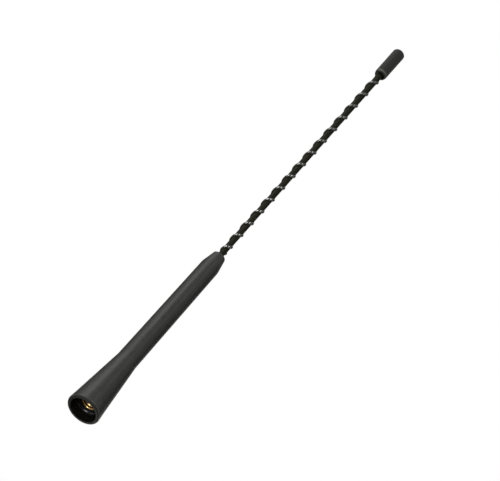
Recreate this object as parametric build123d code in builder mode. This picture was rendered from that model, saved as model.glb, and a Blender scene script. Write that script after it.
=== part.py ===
"""Short roof aerial for a car: a flared screw-on grip, a ribbed whip and a tip cap.

Millimetres. The aerial stands upright on the rim of its grip: the rim's face is z = 0, the whip's
axis is +Z, and the threaded ferrule opens downwards into the recess under the grip.
"""

import os
from math import radians, tan

from build123d import *

os.makedirs("parts", exist_ok=True)

Corner = tuple[float, float]

# Whole aerial
aerial_length = 280.0  # from the rim's face to the tip

# Grip: a soft moulding with a flared foot, a slim shaft and a tapered crown
rim_radius = 8.82  # where the foot's side would meet the rim's face
rim_wall = 1.87  # from the rim's edge to the hollow's mouth
rim_round = 1.0
lip_flare = 0.64  # how much the rim stands out beyond the foot's plain cone
lip_height = 6.1
neck_radius = 5.3  # where the foot meets the shaft
neck_height = 38.2
neck_blend = 9.0
shoulder_radius = 4.68  # where the shaft meets the crown
shoulder_blend = 12.0
crown_length = 8.1
crown_radius = 3.28  # where the crown's side would meet its top
crown_round = 0.4
grip_height = 118.9
recess_depth = 6.0
recess_draft = 0.25  # how much narrower the hollow is at its floor
recess_bevel = 0.9  # between the hollow's floor and its wall
mouth_chamfer = 0.2

# Ferrule: turned brass, moulded into the grip
nose_proud = 0.5  # how far the nose stands out of the hollow's floor
ferrule_radius = 4.2
counterbore_radius = 3.4
counterbore_depth = 0.9
counterbore_chamfer = 0.4
thread_drill = 2.1  # tapping radius of the M5 thread
thread_depth = 10.6
thread_lead_in = 0.45
drill_point = 59.0  # half of the drill's point angle
barrel_beyond_thread = 3.5
groove_depth = 0.55
groove_width = 1.4
groove_count = 2
groove_pitch = 3.6
groove_first = 5.0  # from the nose's face to the middle of the first groove
shank_radius = 2.3
shank_length = 13.5

# Whip: a steel rod in a moulded jacket with one spiral rib
rod_radius = 1.0
socket_web = 2.0  # brass left between the thread's drill point and the rod
jacket_wall = 0.5
rib_height = 0.6
rib_pitch = 9.26
rib_width = 1.7  # at the jacket's surface, across the rib
rib_crest_width = 0.6
rib_root = 0.25  # how deep the rib's section runs into the jacket's wall
rib_start = 4.3  # from the crown's top to the level turn in which the rib starts
rib_into_cap = 1.0
rib_turn = 180.0  # direction about the axis in which the rib starts to climb
level_turn = 180.0  # how far round the jacket the rib runs level before that
level_overlap = 20.0  # how far the level turn runs on under the climbing rib
level_drop = 0.08  # how much lower the level turn stands

# Tip cap: a soft moulding pushed over the end of the jacket
cap_length = 18.3
cap_rib_clearance = 0.16
cap_foot_wall = 0.44  # lower edge, round the mouth
cap_chamfer_width = 0.3
cap_chamfer_height = 1.1
cap_round = 1.8
cap_end_wall = 5.0  # solid rubber beyond the end of the jacket
cap_mouth_depth = 3.0
cap_mouth_taper = 0.8  # cone between the mouth and the close bore

# Places worked out from the sizes above
recess_radius = rim_radius - rim_wall
shoulder_height = grip_height - crown_length
nose_face = recess_depth - nose_proud
thread_start = nose_face + counterbore_depth
thread_end = thread_start + thread_depth
drill_tip = thread_drill / tan(radians(drill_point))
barrel_top = thread_end + barrel_beyond_thread
shank_top = barrel_top + shank_length
rod_bottom = thread_end + drill_tip + socket_web
jacket_radius = rod_radius + jacket_wall
cap_bottom = aerial_length - cap_length
whip_top = aerial_length - cap_end_wall
rib_bottom = grip_height + rib_start
rib_top = cap_bottom + rib_into_cap
cap_mouth_radius = jacket_radius + rib_height + cap_rib_clearance
cap_foot_radius = cap_mouth_radius + cap_foot_wall
cap_radius = cap_foot_radius + cap_chamfer_width


def turned(outline: list[Corner], rounds: dict[Corner, float] | None = None) -> Part:
    """Turns a closed half section about the axis.

    Args:
        outline: Corners of the half section as (radius, height), in order.
        rounds: Radius of the round at some of those corners.

    Returns:
        The turned solid.
    """
    with BuildPart() as made:
        with BuildSketch(Plane.XZ) as half:
            with BuildLine():
                Polyline(*outline, close=True)
            make_face()
            for corner, radius in (rounds or {}).items():
                fillet(half.vertices().sort_by_distance(corner)[0], radius)
        revolve(axis=Axis.Z)
    return made.part


def column(radius: float, bottom: float, top: float) -> Part:
    """Makes a round bar on the axis between two heights.

    Args:
        radius: Radius of the bar.
        bottom: Height of its lower end.
        top: Height of its upper end.

    Returns:
        The bar.
    """
    return turned([(0, bottom), (radius, bottom), (radius, top), (0, top)])


def ferrule_blank() -> Part:
    """Turns the outside of the ferrule, with the grooves that lock it into the moulding.

    Returns:
        The ferrule without its holes.
    """
    groove_floor = ferrule_radius - groove_depth
    with BuildPart() as blank:
        add(column(ferrule_radius, nose_face, barrel_top))
        add(column(shank_radius, barrel_top, shank_top))
        for index in range(groove_count):
            low = nose_face + groove_first + index * groove_pitch - groove_width / 2
            high = low + groove_width
            floor_side = [(groove_floor, high), (groove_floor, low)]
            open_side = [(ferrule_radius, low), (ferrule_radius, high)]
            add(turned(floor_side + open_side), mode=Mode.SUBTRACT)
    return blank.part


def make_ferrule() -> Part:
    """Drills the ferrule: the counterbored and tapped hole below, and the rod's socket above.

    Returns:
        The threaded ferrule.
    """
    hole = [
        (0, nose_face),
        (counterbore_radius + counterbore_chamfer, nose_face),
        (counterbore_radius, nose_face + counterbore_chamfer),
        (counterbore_radius, thread_start),
        (thread_drill + thread_lead_in, thread_start),
        (thread_drill, thread_start + thread_lead_in),
        (thread_drill, thread_end),
        (0, thread_end + drill_tip),
    ]
    with BuildPart() as ferrule:
        add(ferrule_blank())
        add(turned(hole), mode=Mode.SUBTRACT)
        add(column(rod_radius, rod_bottom, shank_top), mode=Mode.SUBTRACT)
    return ferrule.part


def make_grip() -> Part:
    """Moulds the grip round the ferrule and the foot of the jacket.

    Returns:
        The base grip.
    """
    rim = (rim_radius, 0)
    lip = (rim_radius - lip_flare, lip_height)
    neck = (neck_radius, neck_height)
    shoulder = (shoulder_radius, shoulder_height)
    crown = (crown_radius, grip_height)
    floor_radius = recess_radius - recess_draft
    outline = [
        (recess_radius + mouth_chamfer, 0),
        rim,
        lip,
        neck,
        shoulder,
        crown,
        (0, grip_height),
        (0, recess_depth),
        (floor_radius - recess_bevel, recess_depth),
        (floor_radius, recess_depth - recess_bevel),
        (recess_radius, mouth_chamfer),
    ]
    rounds = {
        rim: min(rim_round, 0.8 * (rim_wall - mouth_chamfer)),
        neck: neck_blend,
        shoulder: shoulder_blend,
        crown: crown_round,
    }
    with BuildPart() as grip:
        add(turned(outline, rounds))
        add(ferrule_blank(), mode=Mode.SUBTRACT)
        add(column(jacket_radius, shank_top, grip_height), mode=Mode.SUBTRACT)
    return grip.part


def make_rod() -> Part:
    """Cuts the steel rod that carries the whip, from its socket to the cap.

    Returns:
        The whip rod.
    """
    return column(rod_radius, rod_bottom, whip_top)


def rib_section(height: float) -> list[Corner]:
    """Lays out the rib's section, with its root inside the jacket's wall.

    Args:
        height: How far the crest stands out of the jacket.

    Returns:
        Its corners as (distance from the jacket's surface, place across the rib), in order.
    """
    half_crest = rib_crest_width / 2
    half_foot = rib_width / 2
    half_root = half_foot + rib_root * (half_foot - half_crest) / height
    return [(-rib_root, -half_root), (height, -half_crest), (height, half_crest), (-rib_root, half_root)]


def make_level_turn() -> Part:
    """Turns the level start of the rib, which ends at +X and runs on under the climbing rib.

    Returns:
        The level turn.
    """
    section = [(jacket_radius + out, rib_bottom + up) for out, up in rib_section(rib_height - level_drop)]
    with BuildPart() as level:
        with BuildSketch(Plane.XZ):
            with BuildLine():
                Polyline(*section, close=True)
            make_face()
        revolve(axis=Axis.Z, revolution_arc=level_turn + level_overlap)
    return level.part.rotate(Axis.Z, -level_turn)


def make_rib() -> Part:
    """Sweeps the rib's section along a right-handed helix that starts at +X.

    Returns:
        The climbing rib.
    """
    with BuildPart() as rib:
        with BuildLine():
            path = Helix(rib_pitch, rib_top - rib_bottom, jacket_radius, center=(0, 0, rib_bottom))
        with BuildSketch(Plane(path @ 0, x_dir=(1, 0, 0), z_dir=path % 0)):
            with BuildLine():
                Polyline(*rib_section(rib_height), close=True)
            make_face()
        sweep(path=path, is_frenet=True)
    return rib.part


def make_jacket() -> Part:
    """Moulds the jacket with its spiral rib round the rod.

    Returns:
        The ribbed jacket.
    """
    with BuildPart() as jacket:
        add(column(jacket_radius, shank_top, whip_top))
        add(make_level_turn(), rotation=(0, 0, rib_turn))
        add(make_rib(), rotation=(0, 0, rib_turn))
        add(column(rod_radius, shank_top, whip_top), mode=Mode.SUBTRACT)
    return jacket.part


def make_cap() -> Part:
    """Moulds the tip cap, with a wide mouth that clears the rib and a close bore above it.

    Returns:
        The tip cap.
    """
    tip = (cap_radius, aerial_length)
    mouth_top = cap_bottom + cap_mouth_depth
    outline = [
        (cap_mouth_radius, cap_bottom),
        (cap_foot_radius, cap_bottom),
        (cap_radius, cap_bottom + cap_chamfer_height),
        tip,
        (0, aerial_length),
        (0, whip_top),
        (jacket_radius, whip_top),
        (jacket_radius, mouth_top + cap_mouth_taper),
        (cap_mouth_radius, mouth_top),
    ]
    return turned(outline, {tip: cap_round})


pieces = {
    "base_grip": make_grip(),
    "threaded_ferrule": make_ferrule(),
    "whip_rod": make_rod(),
    "ribbed_jacket": make_jacket(),
    "tip_cap": make_cap(),
}
for name, piece in pieces.items():
    piece.label = name
    export_step(piece, f"parts/{name}.step")
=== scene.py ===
"""Looks of a short screw-on roof aerial: fine surfaces, finishes, light and camera round its solids.

Metres, in the frame of the solids: the rim's face is z = 0, the whip stands along +Z, and the
photograph looks up into the rim from the -Y side.
"""

import logging
import math
import operator
from abc import ABC, abstractmethod
from dataclasses import dataclass, replace
from enum import Enum
from functools import reduce
from typing import Mapping, Sequence

import bpy
import numpy as np
from mathutils import Matrix, Vector

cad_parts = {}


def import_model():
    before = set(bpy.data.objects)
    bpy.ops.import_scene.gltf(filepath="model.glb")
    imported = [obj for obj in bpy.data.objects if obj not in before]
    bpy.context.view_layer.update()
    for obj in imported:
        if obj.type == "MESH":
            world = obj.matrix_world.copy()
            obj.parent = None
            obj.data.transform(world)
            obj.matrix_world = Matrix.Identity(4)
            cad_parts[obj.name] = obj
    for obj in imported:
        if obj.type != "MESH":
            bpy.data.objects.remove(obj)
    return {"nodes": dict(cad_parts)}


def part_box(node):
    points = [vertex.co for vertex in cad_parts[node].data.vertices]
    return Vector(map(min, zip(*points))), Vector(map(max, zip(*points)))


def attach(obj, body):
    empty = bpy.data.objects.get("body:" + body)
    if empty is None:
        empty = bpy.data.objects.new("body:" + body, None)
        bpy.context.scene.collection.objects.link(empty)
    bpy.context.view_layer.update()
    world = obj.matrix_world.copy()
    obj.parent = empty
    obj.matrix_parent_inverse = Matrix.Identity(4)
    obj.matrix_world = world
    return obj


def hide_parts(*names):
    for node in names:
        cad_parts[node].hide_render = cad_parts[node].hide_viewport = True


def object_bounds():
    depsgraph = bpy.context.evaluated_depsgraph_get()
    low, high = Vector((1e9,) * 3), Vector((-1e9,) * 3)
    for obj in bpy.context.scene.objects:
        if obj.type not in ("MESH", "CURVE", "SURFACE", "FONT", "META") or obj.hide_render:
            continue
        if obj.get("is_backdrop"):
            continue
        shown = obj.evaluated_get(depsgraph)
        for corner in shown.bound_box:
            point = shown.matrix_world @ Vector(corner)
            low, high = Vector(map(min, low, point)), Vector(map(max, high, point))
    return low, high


MM = 0.001
BODY = "root"
NOISE_MIDDLE = 0.5  # of a noise that runs from 0 to 1
WAVE_LENGTH = math.tau / 20.0  # of a wave texture at a scale of 1
LOG = logging.getLogger("aerial")

Colour = tuple[float, float, float, float]


class Slot(Enum):
    """The record's material slots."""

    GRIP = "grip_rubber"
    FERRULE = "ferrule_brass"
    ROD = "rod_steel"
    JACKET = "jacket_plastic"
    CAP = "cap_rubber"


def grey(level: float, blue: float = 1.0) -> Colour:
    """Gives a grey of one level, which is warm where it has a smaller share of blue."""
    return (level, level, level * blue, 1.0)


class Shade:
    """A shader socket that stands in Python expressions: each operator adds one Math node."""

    def __init__(self, bench: "Bench", socket: bpy.types.NodeSocket) -> None:
        """Keeps the socket and the bench that its node stands on."""
        self.bench = bench
        self.socket = socket

    def _math(self, operation: str, first: "Operand", second: "Operand") -> "Shade":
        """Adds one Math node.

        Args:
            operation: Blender's name of the sum.
            first: Left side.
            second: Right side.

        Returns:
            The result.
        """
        return self.bench.node("ShaderNodeMath", {"operation": operation}, {0: first, 1: second})

    def __add__(self, other: "Operand") -> "Shade":
        """Adds."""
        return self._math("ADD", self, other)

    def __radd__(self, other: "Operand") -> "Shade":
        """Adds, with the number on the left."""
        return self._math("ADD", other, self)

    def __sub__(self, other: "Operand") -> "Shade":
        """Subtracts."""
        return self._math("SUBTRACT", self, other)

    def __rsub__(self, other: "Operand") -> "Shade":
        """Subtracts from a number."""
        return self._math("SUBTRACT", other, self)

    def __mul__(self, other: "Operand") -> "Shade":
        """Multiplies."""
        return self._math("MULTIPLY", self, other)

    def __rmul__(self, other: "Operand") -> "Shade":
        """Multiplies, with the number on the left."""
        return self._math("MULTIPLY", other, self)

    def __or__(self, other: "Operand") -> "Shade":
        """Takes the larger one, which joins two masks."""
        return self._math("MAXIMUM", self, other)


Operand = Shade | float | int
Feed = Shade | float | int | Sequence[float]


class Bench:
    """A node tree under work: every node comes from one method."""

    def __init__(self, tree: bpy.types.NodeTree) -> None:
        """Clears the tree."""
        self.tree = tree
        tree.nodes.clear()

    def node(
        self,
        kind: str,
        settings: Mapping[str, object] | None = None,
        sockets: Mapping[str | int, Feed] | None = None,
        out: str | int = 0,
    ) -> Shade:
        """Adds one node, sets it and feeds its sockets.

        Args:
            kind: Blender's type of the node.
            settings: Its properties, which are set first.
            sockets: A value or a link for each socket, by name, identifier or number.
            out: The output to hand back.

        Returns:
            The chosen output.
        """
        made = self.tree.nodes.new(kind)
        for name, value in (settings or {}).items():
            setattr(made, name, value)
        for key, value in (sockets or {}).items():
            socket = self._find(made.inputs, key)
            if isinstance(value, Shade):
                self.tree.links.new(value.socket, socket)
            else:
                socket.default_value = value
        return Shade(self, self._find(made.outputs, out) if made.outputs else None)

    @staticmethod
    def _find(sockets: bpy.types.bpy_prop_collection, key: str | int) -> bpy.types.NodeSocket:
        """Finds a socket.

        Args:
            sockets: The node's inputs or outputs.
            key: The socket's number, identifier or name.

        Returns:
            The socket.
        """
        if isinstance(key, int):
            return sockets[key]
        return next((s for s in sockets if s.identifier == key), None) or sockets[key]

    def place(self) -> Shade:
        """Gives the object coordinates, which are the aerial's own."""
        return self.node("ShaderNodeTexCoord", out="Object")

    def noise(self, where: Shade, size: float, detail: float = 2.0) -> Shade:
        """Adds cloudy noise about 0.5.

        Args:
            where: The coordinates that it reads.
            size: Size of one cloud.
            detail: How many finer layers it has.

        Returns:
            The noise, from 0 to 1.
        """
        feed = {"Vector": where, "Scale": 1.0 / size, "Detail": detail}
        return self.node("ShaderNodeTexNoise", None, feed, "Fac")

    def stretched(self, where: Shade, lengthening: float) -> Shade:
        """Stretches a pattern along the whip.

        Args:
            where: The coordinates.
            lengthening: How much longer than wide the pattern gets.

        Returns:
            The stretched coordinates.
        """
        feed = {"Vector": where, "Scale": (1.0, 1.0, 1.0 / lengthening)}
        return self.node("ShaderNodeMapping", None, feed)

    def ranged(self, value: Shade, low: float, high: float, to_low: float, to_high: float) -> Shade:
        """Carries a range over to another one smoothly.

        Args:
            value: What is carried over.
            low: Start of its range.
            high: End of its range.
            to_low: What the start becomes.
            to_high: What the end becomes.

        Returns:
            The carried value.
        """
        feed = {"Value": value, "From Min": low, "From Max": high, "To Min": to_low, "To Max": to_high}
        return self.node("ShaderNodeMapRange", {"interpolation_type": "SMOOTHSTEP"}, feed)

    def mixed(self, share: Shade, first: Shade | Colour, second: Shade | Colour) -> Shade:
        """Mixes two colours.

        Args:
            share: How much of the second colour there is.
            first: Colour at 0.
            second: Colour at 1.

        Returns:
            The mix.
        """
        feed = {"Factor_Float": share, "A_Color": first, "B_Color": second}
        return self.node("ShaderNodeMix", {"data_type": "RGBA"}, feed, "Result_Color")

    def section(self, where: Shade) -> Shade:
        """Turns a place in space into a place in the half section.

        Args:
            where: The coordinates.

        Returns:
            The distance from the axis as X and the height as Y.
        """
        flat = self.node("ShaderNodeVectorMath", {"operation": "MULTIPLY"}, {0: where, 1: (1.0, 1.0, 0.0)})
        radius = self.node("ShaderNodeVectorMath", {"operation": "LENGTH"}, {0: flat}, "Value")
        height = self.node("ShaderNodeSeparateXYZ", None, {"Vector": where}, "Z")
        return self.node("ShaderNodeCombineXYZ", None, {"X": radius, "Y": height})

    def near(self, section: Shade, ring: "Ring") -> Shade:
        """Marks what lies near a ring round the axis.

        Args:
            section: The place in the half section.
            ring: The ring.

        Returns:
            1 on the ring, and 0 beyond its reach.
        """
        feed = {0: section, 1: (ring.radius, ring.height, 0.0)}
        distance = self.node("ShaderNodeVectorMath", {"operation": "DISTANCE"}, feed, "Value")
        return self.ranged(distance, 0.0, ring.reach, 1.0, 0.0)

    def inside(self, section: Shade, hollow: "Hollow") -> Shade:
        """Marks what lies in a hollow.

        Args:
            section: The place in the half section.
            hollow: The hollow.

        Returns:
            1 in the hollow, and 0 beyond its radius or its depth.
        """
        radius = self.node("ShaderNodeSeparateXYZ", None, {"Vector": section}, "X")
        height = self.node("ShaderNodeSeparateXYZ", None, {"Vector": section}, "Y")
        within = self.ranged(radius, hollow.radius, hollow.radius + hollow.blur, 1.0, 0.0)
        return within * self.ranged(height, hollow.depth, hollow.depth + hollow.blur, 1.0, 0.0)

    def bump(self, height: Shade, depth: float) -> Shade:
        """Turns a height into a bumped normal.

        Args:
            height: The height, from 0 to 1.
            depth: What a height of 1 is worth.

        Returns:
            The normal.
        """
        return self.node("ShaderNodeBump", None, {"Height": height, "Distance": depth, "Strength": 1.0})


@dataclass(frozen=True)
class Finish(ABC):
    """What the surface of a piece is like."""

    name: str

    def material(self) -> bpy.types.Material:
        """Makes the material.

        Returns:
            A material with the finish's nodes.
        """
        made = bpy.data.materials.new(self.name)
        made.use_nodes = True
        bench = Bench(made.node_tree)
        bench.node("ShaderNodeOutputMaterial", None, {"Surface": self.surface(bench)})
        return made

    @abstractmethod
    def surface(self, bench: Bench) -> Shade:
        """Lays out the finish's nodes.

        Args:
            bench: The empty node tree.

        Returns:
            The finished shader.
        """


@dataclass(frozen=True)
class Ring:
    """An edge round the axis, and how far from it its wear and painted highlight, its gloss or its painted
    shade reaches.
    """

    radius: float
    height: float
    reach: float


@dataclass(frozen=True)
class Hollow:
    """A hollow under a piece, by the radius and the depth that hold all of it."""

    radius: float
    depth: float
    blur: float = 0.2 * MM  # width of its soft border
    gloss_reach: float = 2.2 * MM

    def corner(self) -> Ring:
        """Gives the corner between the hollow's wall and its floor, which came glossy from the mould."""
        return Ring(self.radius, self.depth, self.gloss_reach)


@dataclass(frozen=True)
class MouldedRubber(Finish):
    """Matt black rubber from an eroded mould: fine grain, faint flow streaks, edges worn smooth and lighter
    with a painted highlight, and painted shade in its hollow.
    """

    dark: float  # grey levels between which the grain, the streaks and the clouds vary
    pale: float
    roughness: float
    # edges worn lighter: partly real wear, partly a painted highlight where the edge catches the light
    worn_highlit: tuple[Ring, ...]
    hollow: Hollow
    worn_highlight_tone: float  # grey level of the worn edges, partly a painted highlight
    blue: float = 0.9  # share of blue in a grey: less is warmer
    worn_highlight_blue: float = 0.9
    specular: float = 0.17
    dust: float = 0.0  # pale sheen at a grazing angle
    worn_roughness: float = 0.2
    # painted shade: a near-black base colour in the hollow, where shade falls
    hollow_shade_tone: float = 0.004
    hollow_gloss: float = 0.22  # roughness of the coat in the hollow's corner
    grain_size: float = 0.32 * MM
    grain_depth: float = 0.03 * MM
    streak_size: float = 0.9 * MM
    streak_length: float = 14.0  # times its width
    cloud_size: float = 9.0 * MM
    cloud_detail: float = 4.0
    grain_share: float = 0.35
    streak_share: float = 0.35
    cloud_share: float = 0.3
    tone_range: tuple[float, float] = (0.3, 0.7)
    worn_highlit_range: tuple[float, float] = (0.4, 0.6)
    least_worn_highlit: float = 0.1  # share of the wear and painted highlight that is left where the clouds spare an edge
    roughness_spread: float = 0.14
    streak_relief: float = 0.6  # height of a streak over that of the grain
    worn_smoothing: float = 0.7  # share of the relief that wear takes away

    def surface(self, bench: Bench) -> Shade:
        """Adds the grain, the streaks along the whip, the soft clouds of handling, the worn edges with
        their painted highlight and the painted shade in the hollow.

        Args:
            bench: The empty node tree.

        Returns:
            The finished shader.
        """
        place = bench.place()
        section = bench.section(place)
        grain = bench.noise(place, self.grain_size)
        streak = bench.noise(bench.stretched(place, self.streak_length), self.streak_size)
        cloud = bench.noise(place, self.cloud_size, self.cloud_detail)
        tone = self.grain_share * grain + self.streak_share * streak + self.cloud_share * cloud
        share = bench.ranged(tone, *self.tone_range, 0.0, 1.0)
        edges = reduce(operator.or_, [bench.near(section, ring) for ring in self.worn_highlit])
        # The worn edges are lighter: partly real wear, partly a painted highlight along edges that catch
        # the light.
        worn_highlit = edges * bench.ranged(cloud, *self.worn_highlit_range, self.least_worn_highlit, 1.0)
        moulded = bench.mixed(share, grey(self.dark, self.blue), grey(self.pale, self.blue))
        handled_and_highlit = bench.mixed(worn_highlit, moulded, grey(self.worn_highlight_tone, self.worn_highlight_blue))
        inside = bench.inside(section, self.hollow)
        roughness = self.roughness + self.roughness_spread * (cloud - NOISE_MIDDLE)
        gloss = inside * bench.near(section, self.hollow.corner())
        relief = (grain - NOISE_MIDDLE) + self.streak_relief * (streak - NOISE_MIDDLE)
        smoothing = self.worn_smoothing * worn_highlit | inside
        sockets = {
            # painted shade: the hollow's base colour is near black
            "Base Color": bench.mixed(inside, handled_and_highlit, grey(self.hollow_shade_tone)),
            "Roughness": roughness - self.worn_roughness * worn_highlit,
            "Specular IOR Level": self.specular,
            "Coat Weight": gloss,
            "Coat Roughness": self.hollow_gloss,
            "Sheen Weight": self.dust,
            "Normal": bench.bump(relief * (1.0 - smoothing), self.grain_depth),
        }
        return bench.node("ShaderNodeBsdfPrincipled", None, sockets)


@dataclass(frozen=True)
class SleevePlastic(Finish):
    """Black plastic drawn over the whip: dull between the ribs, rubbed to a gloss on their crests."""

    plain_radius: float  # where the gloss starts
    crest_radius: float  # where it is full
    dark: float = 0.006
    pale: float = 0.014
    blue: float = 0.5
    roughness: float = 0.5
    specular: float = 0.06
    coat_roughness: float = 0.16
    coat_ior: float = 1.65
    wave_size: float = 1.1 * MM
    wave_depth: float = 0.02 * MM
    smear_size: float = 5.0 * MM
    smear_detail: float = 4.0
    roughness_spread: float = 0.16

    def surface(self, bench: Bench) -> Shade:
        """Adds the waviness, the dull smears and the gloss on what stands out of the plain sleeve.

        Args:
            bench: The empty node tree.

        Returns:
            The finished shader.
        """
        place = bench.place()
        wave = bench.noise(place, self.wave_size)
        smear = bench.noise(place, self.smear_size, self.smear_detail)
        radius = bench.node("ShaderNodeSeparateXYZ", None, {"Vector": bench.section(place)}, "X")
        crest = bench.ranged(radius, self.plain_radius, self.crest_radius, 0.0, 1.0)
        plain = bench.mixed(smear, grey(self.dark, self.blue), grey(self.pale, self.blue))
        sockets = {
            "Base Color": plain,
            "Roughness": self.roughness + self.roughness_spread * (smear - NOISE_MIDDLE),
            "Specular IOR Level": self.specular,
            "Coat Weight": crest,
            "Coat Roughness": self.coat_roughness,
            "Coat IOR": self.coat_ior,
            "Normal": bench.bump(wave, self.wave_depth),
        }
        return bench.node("ShaderNodeBsdfPrincipled", None, sockets)


@dataclass(frozen=True)
class TurnedBrass(Finish):
    """Brass from the lathe: fine rings round the axis, a little tarnish, and painted shade in the
    counterbore.
    """

    bright: Colour = (0.82, 0.57, 0.25, 1.0)
    tarnish: Colour = (0.55, 0.31, 0.10, 1.0)
    roughness: float = 0.31
    ring_pitch: float = 0.12 * MM
    ring_depth: float = 0.006 * MM
    ring_wobble: float = 0.6
    stain_size: float = 1.1 * MM
    stain_detail: float = 4.0
    stain_range: tuple[float, float] = (0.42, 0.78)
    stain_roughness: float = 0.25
    # painted shade: dark brown in the counterbore, where the brass shows dark reflections
    counterbore_shade: Colour = (0.05, 0.022, 0.008, 1.0)
    shaded_ring: Ring = Ring(3.2 * MM, 6.35 * MM, reach=0.75 * MM)

    def surface(self, bench: Bench) -> Shade:
        """Adds the tool's rings, the stains and the painted shade.

        Args:
            bench: The empty node tree.

        Returns:
            The finished shader.
        """
        place = bench.place()
        stain = bench.noise(place, self.stain_size, self.stain_detail)
        rings = bench.node(
            "ShaderNodeTexWave",
            {"wave_type": "RINGS", "rings_direction": "Z"},
            {"Vector": place, "Scale": WAVE_LENGTH / self.ring_pitch, "Distortion": self.ring_wobble},
            "Fac",
        )
        share = bench.ranged(stain, *self.stain_range, 0.0, 1.0)
        # Painted shade in the counterbore, which is also rougher there.
        shaded_share = bench.near(bench.section(place), self.shaded_ring)
        metal = bench.mixed(share, self.bright, self.tarnish)
        sockets = {
            "Base Color": bench.mixed(shaded_share, metal, self.counterbore_shade),
            "Roughness": self.roughness + self.stain_roughness * (share | shaded_share),
            "Metallic": 1.0,
            "Normal": bench.bump(rings, self.ring_depth),
        }
        return bench.node("ShaderNodeBsdfPrincipled", None, sockets)


@dataclass(frozen=True)
class DrawnSteel(Finish):
    """Spring steel as it leaves the drawing die, with scratches along its length."""

    bright: Colour = (0.56, 0.57, 0.58, 1.0)
    dull: Colour = (0.40, 0.40, 0.41, 1.0)
    scratch_size: float = 0.12 * MM
    scratch_length: float = 90.0  # times its width
    scratch_depth: float = 0.004 * MM
    roughness: float = 0.26
    scratch_roughness: float = 0.2

    def surface(self, bench: Bench) -> Shade:
        """Adds the scratches.

        Args:
            bench: The empty node tree.

        Returns:
            The finished shader.
        """
        scratch = bench.noise(bench.stretched(bench.place(), self.scratch_length), self.scratch_size)
        sockets = {
            "Base Color": bench.mixed(scratch, self.bright, self.dull),
            "Roughness": self.roughness + self.scratch_roughness * scratch,
            "Metallic": 1.0,
            "Normal": bench.bump(scratch, self.scratch_depth),
        }
        return bench.node("ShaderNodeBsdfPrincipled", None, sockets)


@dataclass(frozen=True)
class PaleFloor(Finish):
    """A pale floor that fades into the white round it and is clear from below."""

    colour: Colour = (0.90, 0.90, 0.89, 1.0)
    lift: float = 0.22  # glow that brings the floor nearer to the white round it
    fade_from: float = 0.25  # distances between which it fades away
    fade_to: float = 0.9

    def surface(self, bench: Bench) -> Shade:
        """Mixes the matt floor with clear air by distance and by side.

        Args:
            bench: The empty node tree.

        Returns:
            The finished shader.
        """
        place = bench.place()
        distance = bench.node("ShaderNodeVectorMath", {"operation": "LENGTH"}, {0: place}, "Value")
        below = bench.node("ShaderNodeNewGeometry", out="Backfacing")
        clear = bench.ranged(distance, self.fade_from, self.fade_to, 0.0, 1.0) | below
        matt = bench.node("ShaderNodeBsdfDiffuse", None, {"Color": self.colour})
        lift = bench.node("ShaderNodeEmission", None, {"Color": self.colour, "Strength": self.lift})
        lit = bench.node("ShaderNodeAddShader", None, {0: matt, 1: lift})
        air = bench.node("ShaderNodeBsdfTransparent")
        return bench.node("ShaderNodeMixShader", None, {0: clear, 1: lit, 2: air})


@dataclass(frozen=True)
class BlackFelt(Finish):
    """The black of a card that keeps the white surroundings out of a reflection."""

    def surface(self, bench: Bench) -> Shade:
        """Gives plain black."""
        return bench.node("ShaderNodeBsdfDiffuse", None, {"Color": grey(0.0)})


@dataclass(frozen=True)
class Corner:
    """A corner of a half section, with the radius of its round and the step of the run that leaves it."""

    radius: float
    height: float
    round: float = 0.0
    step: float = 1.2 * MM


@dataclass(frozen=True)
class Outline:
    """A half section: straight runs between corners, with arcs in the rounded ones.

    The section goes round its material anticlockwise, with the radius to the right and the height up.
    A closed section joins its last corner to its first, and an open one starts and ends on the axis.
    """

    corners: Sequence[Corner]
    closed: bool
    arc_step: float = math.radians(7.0)
    least_steps: int = 4

    def points(self) -> np.ndarray:
        """Samples the section.

        Each round is an arc that touches both runs: it starts at the tangent length, which is its radius
        over the tangent of half the corner's angle, and turns about its centre by the angle left over.

        Returns:
            Radius and height of each point, in order, one pair a row.
        """
        corners = np.array([(c.radius, c.height) for c in self.corners])
        spans = [self._arc(index, corners) for index in range(len(corners))]
        joined = []
        for index, span in enumerate(spans):
            joined.append(span)
            if self.closed or index + 1 < len(spans):
                step = self.corners[index].step
                joined.append(self._run(span[-1], spans[(index + 1) % len(spans)][0], step))
        return np.concatenate(joined)

    def _arc(self, index: int, corners: np.ndarray) -> np.ndarray:
        """Rounds one corner.

        Args:
            index: Which corner.
            corners: All corners, one a row.

        Returns:
            The points of its arc, or the bare corner.
        """
        corner = corners[index]
        radius = self.corners[index].round
        if radius == 0.0:
            return corner[None]
        back = corners[index - 1] - corner
        ahead = corners[(index + 1) % len(corners)] - corner
        back = back / np.linalg.norm(back)
        ahead = ahead / np.linalg.norm(ahead)
        half = math.acos(float(np.clip(back @ ahead, -1.0, 1.0))) / 2
        middle = (back + ahead) / np.linalg.norm(back + ahead)
        centre = corner + middle * radius / math.sin(half)
        start = corner + back * radius / math.tan(half) - centre
        turn = (math.pi - 2 * half) * math.copysign(1.0, ahead[0] * back[1] - ahead[1] * back[0])
        steps = max(self.least_steps, math.ceil(abs(turn) / self.arc_step))
        angle = np.linspace(0.0, turn, steps + 1)[:, None]
        aside = np.array([-start[1], start[0]])
        return centre + np.cos(angle) * start + np.sin(angle) * aside

    @staticmethod
    def _run(start: np.ndarray, end: np.ndarray, step: float) -> np.ndarray:
        """Samples the inside of a straight run, without its ends.

        Args:
            start: Where it starts.
            end: Where it ends.
            step: The longest step between two points.

        Returns:
            The points between, one a row.
        """
        steps = max(1, math.ceil(float(np.linalg.norm(end - start)) / step))
        share = np.linspace(0.0, 1.0, steps + 1)[1:-1, None]
        return start + share * (end - start)


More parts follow.
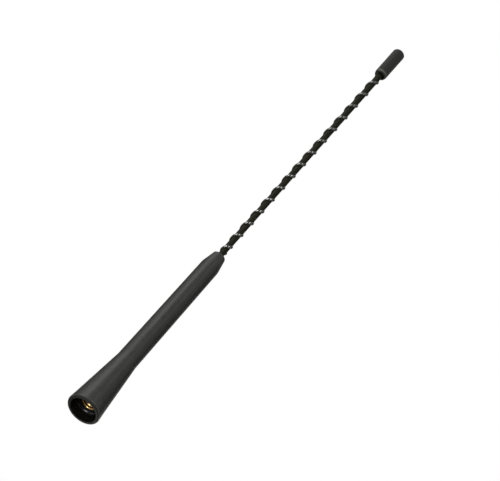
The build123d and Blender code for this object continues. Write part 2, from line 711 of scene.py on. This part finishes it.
@dataclass(frozen=True)
class Skin:
    """A surface on a grid: rows follow the section, and columns go round the axis and meet again.

    Each point stands at its radius and angle round the axis and at its height.
    """

    radii: np.ndarray
    angles: np.ndarray
    heights: np.ndarray
    closed: bool

    def mesh(self, name: str, sharp_angle: float = math.radians(50.0)) -> bpy.types.Mesh:
        """Puts the grid into a mesh, with one point at each pole of an open section.

        Args:
            name: Name of the mesh.
            sharp_angle: Edges with a larger turn than this stay sharp.

        Returns:
            The closed mesh, facing outwards.
        """
        radii, angles, heights = np.broadcast_arrays(self.radii, self.angles, self.heights)
        points = np.stack([radii * np.cos(angles), radii * np.sin(angles), heights], axis=-1)
        if not self.closed:
            poles = points[[0, -1], 0]
            points = points[1:-1]
        rows, columns = points.shape[:2]
        index = np.arange(rows * columns).reshape(rows, columns)
        ring = np.vstack([index, index[:1]]) if self.closed else index
        after = np.roll(ring, -1, axis=1)
        quads = np.stack([ring[:-1], after[:-1], after[1:], ring[1:]], axis=-1).reshape(-1, 4)
        vertices = points.reshape(-1, 3)
        faces = quads.tolist()
        if not self.closed:
            first, last = np.full((2, columns), [[rows * columns], [rows * columns + 1]])
            vertices = np.concatenate([vertices, poles])
            faces += np.stack([first, after[0], ring[0]], axis=-1).tolist()
            faces += np.stack([ring[-1], after[-1], last], axis=-1).tolist()
        made = bpy.data.meshes.new(name)
        made.from_pydata(vertices.tolist(), [], faces)
        made.shade_smooth()
        made.set_sharp_from_angle(angle=sharp_angle)
        return made


def turned(outline: Outline, columns: int) -> Skin:
    """Turns a half section about the axis: every column is the same section at its own angle.

    Args:
        outline: The half section.
        columns: How many columns go round.

    Returns:
        The turned surface.
    """
    points = outline.points()
    angles = np.linspace(0.0, math.tau, columns, endpoint=False)[None]
    return Skin(points[:, :1], angles, points[:, 1:], outline.closed)


def smooth(value: np.ndarray) -> np.ndarray:
    """Rises from 0 to 1 with level ends: three times the square less twice the cube."""
    share = np.clip(value, 0.0, 1.0)
    return share * share * (3.0 - 2.0 * share)


@dataclass
class Piece(ABC):
    """One piece of the aerial, which stands for a solid of the frame."""

    node: str
    slot: Slot
    finish: Finish

    @abstractmethod
    def skin(self) -> Skin:
        """Works out the piece's surface.

        Returns:
            The surface, in the aerial's frame.
        """

    def build(self) -> bpy.types.Object:
        """Makes the piece, dresses it and seats it in the frame.

        Returns:
            The finished object.
        """
        made = bpy.data.objects.new(f"{self.node}_fine", self.skin().mesh(self.node))
        bpy.context.scene.collection.objects.link(made)
        made.data.materials.append(self.finish.material())
        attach(made, BODY)
        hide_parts(self.node)
        LOG.info("%s: %d faces", made.name, len(made.data.polygons))
        return made


@dataclass
class Ferrule(Piece):
    """The turned brass ferrule in the grip: a counterbored nose, an M5 thread, grooves and a shank."""

    radius: float = 4.2 * MM
    nose_chamfer: float = 0.15 * MM
    counterbore_radius: float = 3.4 * MM
    counterbore_depth: float = 0.9 * MM
    counterbore_chamfer: float = 0.4 * MM
    drill_radius: float = 2.1 * MM
    drill_tip: float = 1.26 * MM
    thread_depth: float = 10.6 * MM
    thread_radius: float = 2.5 * MM
    thread_pitch: float = 0.8 * MM
    lead_in: float = 0.45 * MM
    crest_share: float = 0.25
    root_share: float = 0.125
    barrel_top: float = 20.5 * MM
    groove_depth: float = 0.55 * MM
    groove_width: float = 1.4 * MM
    groove_heights: tuple[float, ...] = (10.5 * MM, 14.1 * MM)
    shank_radius: float = 2.3 * MM
    socket_radius: float = 1.0 * MM
    socket_floor: float = 20.26 * MM
    columns: int = 96
    rows_per_pitch: int = 16

    def thread(self, angles: np.ndarray, heights: np.ndarray) -> np.ndarray:
        """Works out how deep the thread is cut.

        The phase is the height over the pitch less the angle over a full turn. Over one phase the depth
        stays at 0 on the crest, rises along the flank, stays full on the root and falls again.

        Args:
            angles: Angles round the axis.
            heights: Heights.

        Returns:
            The depth beyond the drilled hole.
        """
        phase = np.mod(heights / self.thread_pitch - angles / math.tau, 1.0)
        away = np.abs(phase - 0.5)
        flank = 0.5 - self.crest_share / 2 - self.root_share / 2
        share = np.clip((0.5 - self.crest_share / 2 - away) / flank, 0.0, 1.0)
        return share * (self.thread_radius - self.drill_radius)

    @classmethod
    def grooves(cls) -> list[Corner]:
        """Lays out the grooves that hold the ferrule in the moulding.

        Returns:
            Their corners, from the lowest up.
        """
        floor = cls.radius - cls.groove_depth
        half = cls.groove_width / 2
        corners = []
        for middle in cls.groove_heights:
            below = [Corner(cls.radius, middle - half), Corner(floor, middle - half)]
            above = [Corner(floor, middle + half), Corner(cls.radius, middle + half)]
            corners += below + above
        return corners

    def skin(self) -> Skin:
        """Turns the ferrule and cuts the thread into the wall of its hole.

        Returns:
            The ferrule's surface.
        """
        low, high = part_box("threaded_ferrule")
        thread_start = low.z + self.counterbore_depth
        thread_end = thread_start + self.thread_depth
        mouth = self.drill_radius + self.lead_in
        fine = self.thread_pitch / self.rows_per_pitch
        corners = [
            Corner(0.0, thread_end + self.drill_tip),
            Corner(self.drill_radius, thread_end, step=fine),
            Corner(self.drill_radius, thread_start + self.lead_in, step=fine),
            Corner(mouth, thread_start),
            Corner(self.counterbore_radius, thread_start),
            Corner(self.counterbore_radius, low.z + self.counterbore_chamfer),
            Corner(self.counterbore_radius + self.counterbore_chamfer, low.z),
            Corner(self.radius - self.nose_chamfer, low.z),
            Corner(self.radius, low.z + self.nose_chamfer),
            *self.grooves(),
            Corner(self.radius, self.barrel_top),
            Corner(self.shank_radius, self.barrel_top),
            Corner(self.shank_radius, high.z),
            Corner(self.socket_radius, high.z),
            Corner(self.socket_radius, self.socket_floor),
            Corner(0.0, self.socket_floor),
        ]
        plain = turned(Outline(corners, closed=False), self.columns)
        in_hole = (plain.radii <= mouth) & (plain.heights < thread_end) & (plain.heights > thread_start)
        hole = np.maximum(plain.radii, self.drill_radius + self.thread(plain.angles, plain.heights))
        return replace(plain, radii=np.where(in_hole, hole, plain.radii))


@dataclass
class Grip(Piece):
    """The flared rubber grip: rim, hollow, slim shaft and tapered crown, moulded round the ferrule."""

    rim_radius: float = 8.82 * MM
    rim_round: float = 1.0 * MM
    lip: Corner = Corner(8.18 * MM, 6.1 * MM, 30.0 * MM)
    neck: Corner = Corner(5.3 * MM, 38.2 * MM, 9.0 * MM)
    shoulder: Corner = Corner(4.68 * MM, 110.8 * MM, 12.0 * MM)
    crown: Corner = Corner(3.28 * MM, 118.9 * MM, 0.4 * MM)
    recess_radius: float = 6.95 * MM
    recess_floor_radius: float = 6.7 * MM
    recess_depth: float = 6.0 * MM
    recess_round: float = 1.8 * MM
    mouth_round: float = 0.25 * MM
    columns: int = 160

    def skin(self) -> Skin:
        """Turns the section, whose pockets fit round the grooved ferrule and the foot of the jacket.

        Returns:
            The grip's surface.
        """
        _, ferrule_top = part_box("threaded_ferrule")
        jacket_foot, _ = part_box("ribbed_jacket")
        corners = [
            Corner(self.recess_floor_radius, self.recess_depth, self.recess_round),
            Corner(self.recess_radius, 0.0, self.mouth_round),
            Corner(self.rim_radius, 0.0, self.rim_round),
            self.lip,
            self.neck,
            self.shoulder,
            self.crown,
            Corner(RibbedJacket.radius, self.crown.height),
            Corner(RibbedJacket.radius, jacket_foot.z),
            Corner(Ferrule.shank_radius, ferrule_top.z),
            Corner(Ferrule.shank_radius, Ferrule.barrel_top),
            Corner(Ferrule.radius, Ferrule.barrel_top),
            *reversed(Ferrule.grooves()),
            Corner(Ferrule.radius, self.recess_depth),
        ]
        return turned(Outline(corners, closed=True), self.columns)


@dataclass
class RibbedJacket(Piece):
    """The jacket of the whip with one right-handed spiral rib, which starts as a level half turn."""

    radius: float = 1.5 * MM
    bore: float = 1.0 * MM
    rib_height: float = 0.6 * MM
    rib_pitch: float = 9.26 * MM
    rib_foot: float = 1.0 * MM  # half widths of the rib at the jacket and at its crest
    rib_crest: float = 0.32 * MM
    rib_bottom: float = 123.2 * MM
    rib_top: float = 262.7 * MM
    rib_ramp: float = 0.5 * MM  # length of the slope at each end
    rib_turn: float = math.radians(180.0)  # direction in which the rib starts to climb
    level_height: float = 0.52 * MM
    level_overlap: float = math.radians(20.0)  # how far it runs on under the climbing rib
    level_ramp: float = math.radians(14.0)
    dull_height: float = 0.1 * MM  # of the rib's foot, which is never rubbed
    columns: int = 64
    even_share: float = 0.6  # of even steps round the jacket; the rest crowds them at the rib
    rows_per_turn: int = 56
    foot_rows: int = 60
    tip_rows: int = 12
    bore_rows: int = 40

    def rib(self, across: np.ndarray) -> np.ndarray:
        """Gives the rib's section: a smooth step from its foot, where it is 0, to its crest, where it is 1.

        Args:
            across: Distance from the rib's line, across the rib.

        Returns:
            The share of the rib's height.
        """
        return smooth((self.rib_foot - np.abs(across)) / (self.rib_foot - self.rib_crest))

    def level_start(self, round_by: np.ndarray, heights: np.ndarray) -> np.ndarray:
        """Works out the level half turn in which the rib starts.

        It lies at the height of the rib's lower end and goes back from there by half a turn, so its height
        is the rib's section across that level, times a smooth rise at its free end and a smooth fall where
        the climbing rib has taken over.

        Args:
            round_by: Angle from the rib's lower end.
            heights: Heights.

        Returns:
            How far it stands out of the jacket.
        """
        angle = np.mod(round_by + math.pi, math.tau) - math.pi
        rise = smooth((angle + math.pi) / self.level_ramp)
        fall = smooth((self.level_overlap - angle) / self.level_ramp)
        return self.level_height * (rise * fall) * self.rib(heights - self.rib_bottom)

    def skin(self) -> Skin:
        """Works out the jacket as one grid that twists with the rib.

        Each column keeps its angle from the rib, so the rib's line is a column, and columns lie closer near
        it: their angles are a mix of even steps and of the steps' cubes. Away from that line, the distance
        across the rib is the arc round the jacket times the sine of the lead angle, and the radius is the
        jacket's plus the larger one of the climbing rib and the level start. The section closes over the
        bore, which twists back.

        Returns:
            The jacket's surface.
        """
        low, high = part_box("ribbed_jacket")
        turns = (self.rib_top - self.rib_bottom) / self.rib_pitch
        row = self.rib_pitch / self.rows_per_turn
        rib_low = self.rib_bottom - self.rib_foot
        plain_low = np.linspace(low.z, rib_low, self.foot_rows, endpoint=False)
        rib_rows = np.arange(rib_low, self.rib_top, row)
        plain_high = np.linspace(self.rib_top, high.z, self.tip_rows)
        outer = np.concatenate([plain_low, rib_rows, plain_high])[:, None]
        inner = np.linspace(high.z, low.z, self.bore_rows)[:, None]
        climb = np.clip((outer - self.rib_bottom) / self.rib_pitch, 0.0, turns) * math.tau
        back = math.remainder(turns * math.tau, math.tau) * np.linspace(1.0, 0.0, len(inner))[:, None]
        step = np.linspace(-1.0, 1.0, self.columns, endpoint=False)[None]
        away = math.pi * (self.even_share * step + (1.0 - self.even_share) * step**3)
        lead = math.atan2(self.rib_pitch, math.tau * self.radius)
        lower_end = smooth((outer - self.rib_bottom + self.rib_ramp) / self.rib_ramp)
        upper_end = smooth((self.rib_top - outer) / self.rib_ramp)
        climbing = self.rib_height * lower_end * upper_end * self.rib(away * self.radius * math.sin(lead))
        proud = np.maximum(climbing, self.level_start(climb + away, outer))
        radii = np.concatenate([self.radius + proud, np.full((len(inner), self.columns), self.bore)])
        angles = self.rib_turn + away + np.concatenate([climb, back])
        return Skin(radii, angles, np.concatenate([outer, inner]), closed=True)


@dataclass
class TipCap(Piece):
    """The rubber cap on the end of the whip."""

    radius: float = 3.0 * MM
    foot_radius: float = 2.7 * MM
    chamfer_height: float = 1.1 * MM
    chamfer_round: float = 0.2 * MM
    tip_round: float = 1.8 * MM
    edge_round: float = 0.08 * MM
    mouth_radius: float = 2.26 * MM
    mouth_depth: float = 3.0 * MM
    mouth_taper: float = 0.8 * MM
    end_wall: float = 5.0 * MM
    columns: int = 96

    def skin(self) -> Skin:
        """Turns the cap with its mouth, its bore and its rounded tip.

        Returns:
            The cap's surface.
        """
        low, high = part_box("tip_cap")
        mouth_top = low.z + self.mouth_depth
        bore = RibbedJacket.radius
        corners = [
            Corner(0.0, high.z - self.end_wall),
            Corner(bore, high.z - self.end_wall),
            Corner(bore, mouth_top + self.mouth_taper),
            Corner(self.mouth_radius, mouth_top),
            Corner(self.mouth_radius, low.z, self.edge_round),
            Corner(self.foot_radius, low.z, self.edge_round),
            Corner(self.radius, low.z + self.chamfer_height, self.chamfer_round),
            Corner(self.radius, high.z, self.tip_round),
            Corner(0.0, high.z),
        ]
        return turned(Outline(corners, closed=False), self.columns)


@dataclass(frozen=True)
class Viewpoint:
    """Where the photograph was taken from, by its pixels and the aerial's tilt in it."""

    frame_width: int = 500
    frame_height: int = 481
    rim_across: float = 82.86  # pixel of the rim's centre
    rim_down: float = 410.3
    pixel: float = 0.4603 * MM  # what a pixel measures on the aerial
    tilt: float = math.radians(37.5)  # of the whip out of the picture's plane
    lean: float = math.radians(41.55)  # of the whip to the right
    distance: float = 9.0
    sensor: float = 36.0
    far_share: float = 4.0

    def axes(self) -> tuple[Vector, Vector, Vector]:
        """Works out the camera's right, up and backward directions.

        The camera looks up by the tilt from the -Y side, and turns about its line of sight until the whip
        leans to the right by the lean.

        Returns:
            The three directions.
        """
        back = Vector((0.0, -math.cos(self.tilt), -math.sin(self.tilt)))
        along = Vector((0.0, -math.sin(self.tilt), math.cos(self.tilt)))
        side = Vector((1.0, 0.0, 0.0))
        right = side * math.cos(self.lean) + along * math.sin(self.lean)
        up = along * math.cos(self.lean) - side * math.sin(self.lean)
        return right, up, back

    def place(self) -> bpy.types.Object:
        """Makes the scene's camera.

        Returns:
            The camera.
        """
        right, up, back = self.axes()
        middle = right * (self.frame_width / 2 - self.rim_across) * self.pixel
        middle += up * (self.rim_down - self.frame_height / 2) * self.pixel
        data = bpy.data.cameras.new("photo_camera")
        data.sensor_width = self.sensor
        data.lens = self.sensor * self.distance / (self.frame_width * self.pixel)
        data.clip_end = self.far_share * self.distance
        made = bpy.data.objects.new("photo_camera", data)
        turn = Matrix((right, up, back)).transposed().to_4x4()
        made.matrix_world = Matrix.Translation(middle + back * self.distance) @ turn
        bpy.context.scene.collection.objects.link(made)
        bpy.context.scene.camera = made
        return made


@dataclass(frozen=True)
class Softbox:
    """A square studio lamp that faces the middle of the aerial."""

    name: str
    towards: tuple[float, float, float]
    level: float
    size: float
    distance: float = 0.9

    def place(self, target: Vector) -> bpy.types.Object:
        """Makes the lamp.

        The level is what the lamp adds to a white surface that faces it, so its power is the level times
        the square of pi and of the distance.

        Args:
            target: The point that it faces.

        Returns:
            The lamp.
        """
        data = bpy.data.lights.new(self.name, "AREA")
        data.shape = "SQUARE"
        data.size = self.size
        data.energy = self.level * math.pi**2 * self.distance**2
        made = bpy.data.objects.new(self.name, data)
        direction = Vector(self.towards).normalized()
        turn = direction.to_track_quat("Z", "Y").to_matrix().to_4x4()
        made.matrix_world = Matrix.Translation(target + direction * self.distance) @ turn
        bpy.context.scene.collection.objects.link(made)
        return made


@dataclass(frozen=True)
class BlackCard:
    """A square black card that only reflections see, and that faces a point on the axis."""

    name: str
    towards: tuple[float, float, float]
    size: float
    distance: float = 0.6
    height: float = 140.0 * MM

    def place(self) -> bpy.types.Object:
        """Makes the card: a flat grid of four points, square to the line to the point that it faces.

        Returns:
            The card.
        """
        direction = Vector(self.towards).normalized()
        turn = direction.to_track_quat("Z", "Y").to_matrix()
        middle = Vector((0.0, 0.0, self.height)) + direction * self.distance
        half = self.size / 2
        flat = np.array([(-half, -half, 0.0), (half, -half, 0.0), (half, half, 0.0), (-half, half, 0.0)])
        points = flat @ np.array(turn).T + np.array(middle)
        mesh = bpy.data.meshes.new(self.name)
        mesh.from_pydata(points.tolist(), [], [(0, 1, 2, 3)])
        mesh.materials.append(BlackFelt(self.name).material())
        made = bpy.data.objects.new(self.name, mesh)
        bpy.context.scene.collection.objects.link(made)
        made.visible_camera = False
        made.visible_diffuse = False
        made.visible_transmission = False
        made.visible_shadow = False
        made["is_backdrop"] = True
        return made


@dataclass(frozen=True)
class Studio:
    """The stage: a pale floor, soft lamps, black cards for the reflections and white surroundings."""

    ambient: float = 0.25  # level of the light from all round
    floor_radius: float = 1.0
    floor_rings: int = 24
    floor_columns: int = 96
    lamps: tuple[Softbox, ...] = (
        Softbox("key_softbox", (-0.66, -0.45, 0.61), level=0.4, size=0.6),
        Softbox("back_softbox", (0.8, 0.55, 0.05), level=0.35, size=0.5),
        Softbox("left_lamp", (-0.63, -0.48, 0.61), level=0.1, size=0.1),
        Softbox("front_lamp", (0.17, -0.77, 0.61), level=0.1, size=0.08),
        Softbox("rim_lamp", (-0.58, -0.81, 0.0), level=0.3, size=0.15),
        Softbox("low_lamp", (-0.25, -0.56, -0.79), level=0.32, size=0.22),
    )
    cards: tuple[BlackCard, ...] = (
        BlackCard("low_card", (-0.5, 0.7, -0.5), size=0.02, distance=0.022, height=0.0),
        BlackCard("front_card", (-0.08, -0.7, -0.71), size=1.75, distance=1.0),
        BlackCard("right_low_card", (0.55, 0.1, -0.83), size=1.5, distance=1.0, height=0.0),
        BlackCard("upper_card", (-0.32, -0.73, 0.61), size=0.55, distance=1.0),
        BlackCard("side_card", (0.78, 0.1, 0.61), size=0.7, distance=1.0),
        BlackCard("right_card", (0.84, 0.25, 0.48), size=0.36, distance=0.4, height=0.04),
        BlackCard("left_card", (-0.62, 0.5, 0.6), size=0.25, distance=0.4, height=0.04),
    )

    def surroundings(self) -> None:
        """Makes the world: white where it is seen, and a plain level of light elsewhere."""
        world = bpy.data.worlds.new("studio_white")
        world.use_nodes = True
        bpy.context.scene.world = world
        bench = Bench(world.node_tree)
        camera = bench.node("ShaderNodeLightPath", out="Is Camera Ray")
        glossy = bench.node("ShaderNodeLightPath", out="Is Glossy Ray")
        through = bench.node("ShaderNodeLightPath", out="Is Transmission Ray")
        seen = camera | glossy | through
        strength = self.ambient + (1.0 - self.ambient) * seen
        light = bench.node("ShaderNodeBackground", None, {"Color": grey(1.0), "Strength": strength})
        bench.node("ShaderNodeOutputWorld", None, {"Surface": light})

    def floor(self) -> bpy.types.Object:
        """Makes the floor as a disc of rings, which only the camera sees and which takes the shadow.

        Returns:
            The floor.
        """
        radii = np.linspace(self.floor_radius, 0.0, self.floor_rings)[1:-1, None]
        angles = np.linspace(0.0, math.tau, self.floor_columns, endpoint=False)[None]
        points = np.stack(np.broadcast_arrays(radii * np.cos(angles), radii * np.sin(angles), 0.0), axis=-1)
        rows, columns = points.shape[:2]
        index = np.arange(rows * columns).reshape(rows, columns)
        after = np.roll(index, -1, axis=1)
        quads = np.stack([index[:-1], after[:-1], after[1:], index[1:]], axis=-1).reshape(-1, 4)
        middle = index[-1].tolist()
        mesh = bpy.data.meshes.new("floor")
        mesh.from_pydata(points.reshape(-1, 3).tolist(), [], [*quads.tolist(), middle])
        made = bpy.data.objects.new("floor", mesh)
        bpy.context.scene.collection.objects.link(made)
        mesh.materials.append(PaleFloor("pale_floor").material())
        made.visible_diffuse = False
        made.visible_glossy = False
        made.visible_transmission = False
        made.visible_shadow = False
        made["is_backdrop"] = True
        return made

    def build(self, target: Vector) -> None:
        """Sets the stage.

        Args:
            target: The middle of the aerial.
        """
        self.surroundings()
        self.floor()
        for lamp in self.lamps:
            lamp.place(target)
        for card in self.cards:
            card.place()
        bpy.context.scene.view_settings.view_transform = "Standard"


def dress_rod(node: bpy.types.Object) -> None:
    """Gives the hidden steel rod its finish.

    Args:
        node: The rod's own solid.
    """
    node.data.materials.clear()
    node.data.materials.append(DrawnSteel("drawn_steel").material())


def main() -> None:
    """Builds the aerial, its stage and its camera."""
    logging.basicConfig(level=logging.INFO, format="%(name)s: %(message)s")
    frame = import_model()
    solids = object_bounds()
    grip_rubber = MouldedRubber(
        "grip_rubber",
        dark=0.015,
        pale=0.033,
        roughness=0.45,
        # rim and crown edges: partly worn, partly a painted highlight
        worn_highlit=(
            Ring(Grip.rim_radius, height=0.9 * MM, reach=0.6 * MM),
            Ring(Grip.crown.radius, Grip.crown.height, reach=0.6 * MM),
        ),
        worn_highlight_tone=0.07,
        hollow=Hollow(Grip.recess_radius, Grip.recess_depth),
    )
    cap_foot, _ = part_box("tip_cap")
    cap_rubber = MouldedRubber(
        "cap_rubber",
        dark=0.004,
        pale=0.012,
        blue=0.7,
        dust=0.14,
        roughness=0.65,
        # the cap's chamfer edge: partly worn, partly a painted highlight
        worn_highlit=(Ring(TipCap.radius, cap_foot.z + TipCap.chamfer_height, reach=0.7 * MM),),
        worn_highlight_tone=0.09,
        # the cap's mouth gets the painted shade of a hollow
        hollow=Hollow(TipCap.mouth_radius, cap_foot.z + TipCap.mouth_depth),
    )
    sleeve = SleevePlastic(
        "sleeve_plastic",
        plain_radius=RibbedJacket.radius + RibbedJacket.dull_height,
        crest_radius=RibbedJacket.radius + RibbedJacket.rib_height,
    )
    pieces: list[Piece] = [
        Grip("base_grip", Slot.GRIP, grip_rubber),
        Ferrule("threaded_ferrule", Slot.FERRULE, TurnedBrass("turned_brass")),
        RibbedJacket("ribbed_jacket", Slot.JACKET, sleeve),
        TipCap("tip_cap", Slot.CAP, cap_rubber),
    ]
    for piece in pieces:
        piece.build()
    dress_rod(frame["nodes"]["whip_rod"])
    Studio().build((solids[0] + solids[1]) / 2)
    Viewpoint().place()


if __name__ == "__main__":
    main()
